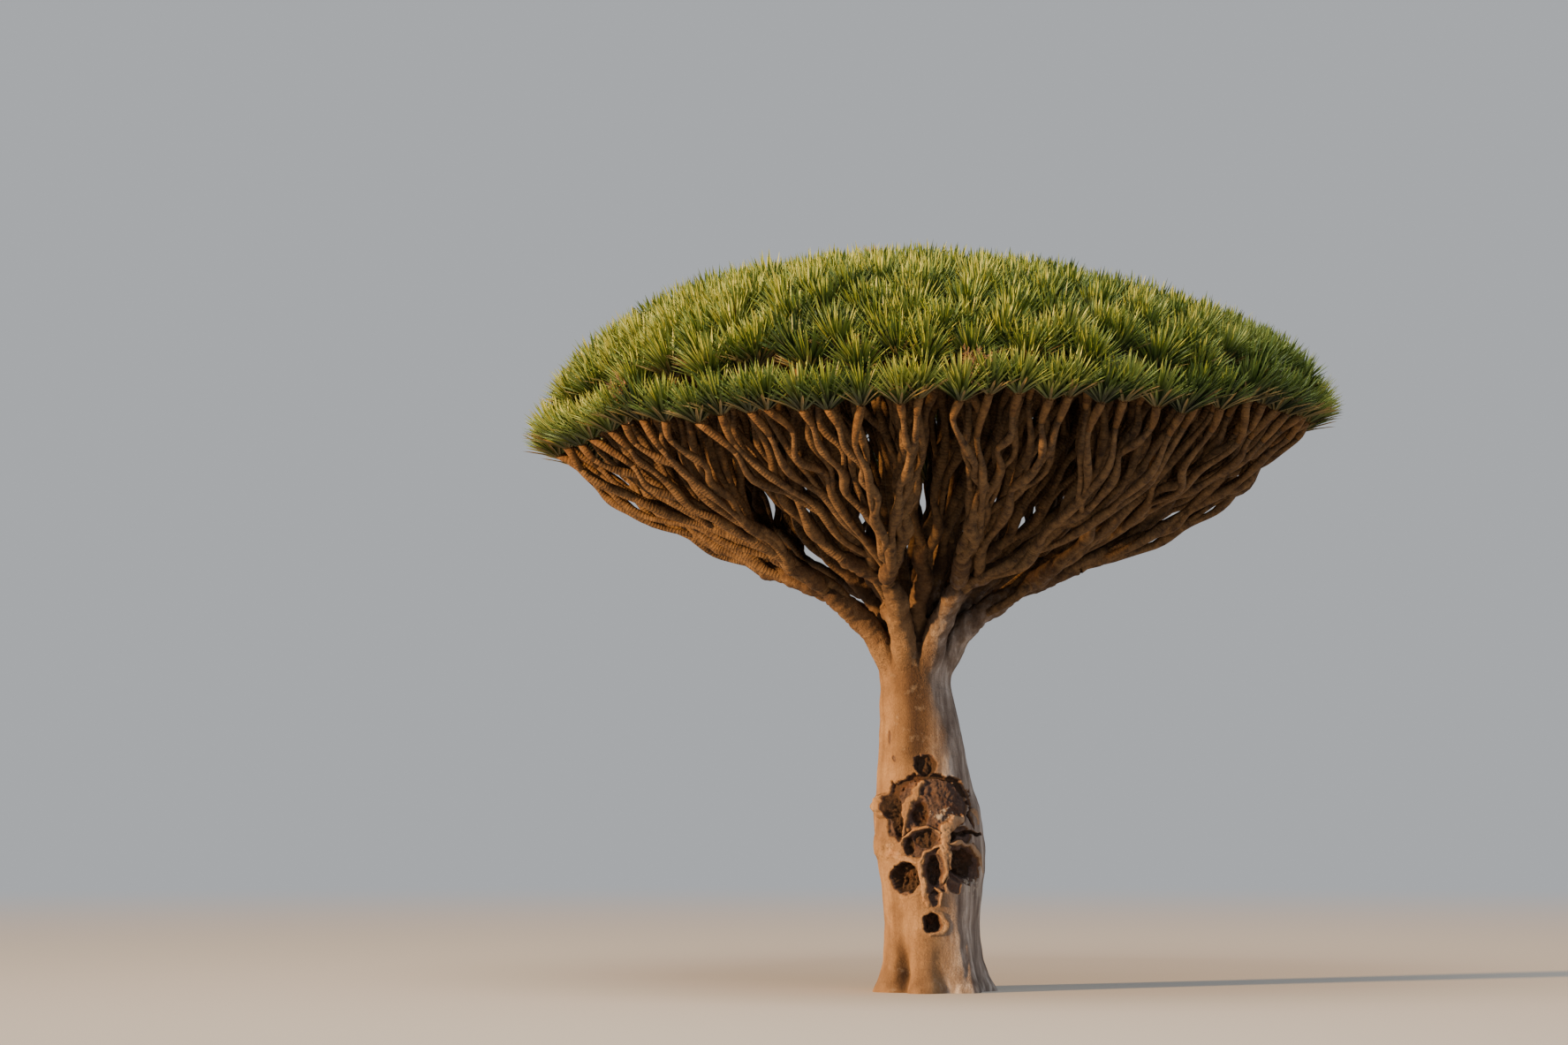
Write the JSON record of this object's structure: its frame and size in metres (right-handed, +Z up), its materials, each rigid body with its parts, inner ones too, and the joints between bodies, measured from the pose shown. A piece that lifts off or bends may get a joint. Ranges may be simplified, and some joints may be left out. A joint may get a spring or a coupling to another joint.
{
  "type": "dragon blood tree",
  "caption": "Umbrella-crowned dragon blood tree: stout scarred trunk, fan of forking boughs, dense dome of sword-leaf rosettes.",
  "frame": {"origin": "middle of the trunk's flat cut at ground level", "axes": "+Z up, -Y towards the viewer of the picture, +X to that viewer's right"},
  "size_m": [7.4245, 7.4319, 6.669],
  "materials": {
    "trunk_bark": "smooth tan-grey bark, finely cracked, with dark hollow resin scars",
    "bough_bark": "brown wrinkled bark, ringed by leaf scars, orange-brown towards the twig ends",
    "foliage": "stiff waxy sword leaves, mid green, paler at the tips, some spent flower stalks"
  },
  "bodies": {
    "root": {"trunk": "trunk_bark", "bough_01": "bough_bark", "bough_02": "bough_bark", "bough_03": "bough_bark", "bough_04": "bough_bark", "bough_05": "bough_bark", "bough_06": "bough_bark", "bough_07": "bough_bark", "bough_08": "bough_bark", "bough_09": "bough_bark", "bough_10": "bough_bark", "bough_11": "bough_bark", "bough_12": "bough_bark", "bough_13": "bough_bark", "bough_14": "bough_bark", "bough_15": "bough_bark", "bough_16": "bough_bark", "bough_17": "bough_bark", "bough_18": "bough_bark", "bough_19": "bough_bark", "bough_20": "bough_bark", "bough_21": "bough_bark", "bough_22": "bough_bark", "bough_23": "bough_bark", "bough_24": "bough_bark", "bough_25": "bough_bark", "bough_26": "bough_bark", "bough_27": "bough_bark", "bough_28": "bough_bark", "foliage_01": "foliage", "foliage_02": "foliage", "foliage_03": "foliage", "foliage_04": "foliage", "foliage_05": "foliage", "foliage_06": "foliage", "foliage_07": "foliage", "foliage_08": "foliage", "foliage_09": "foliage", "foliage_10": "foliage", "foliage_11": "foliage", "foliage_12": "foliage", "foliage_13": "foliage", "foliage_14": "foliage", "foliage_15": "foliage", "foliage_16": "foliage", "foliage_17": "foliage", "foliage_18": "foliage", "foliage_19": "foliage", "foliage_20": "foliage", "foliage_21": "foliage", "foliage_22": "foliage", "foliage_23": "foliage", "foliage_24": "foliage", "foliage_25": "foliage", "foliage_26": "foliage", "foliage_27": "foliage", "foliage_28": "foliage"}
  },
  "joints": []
}
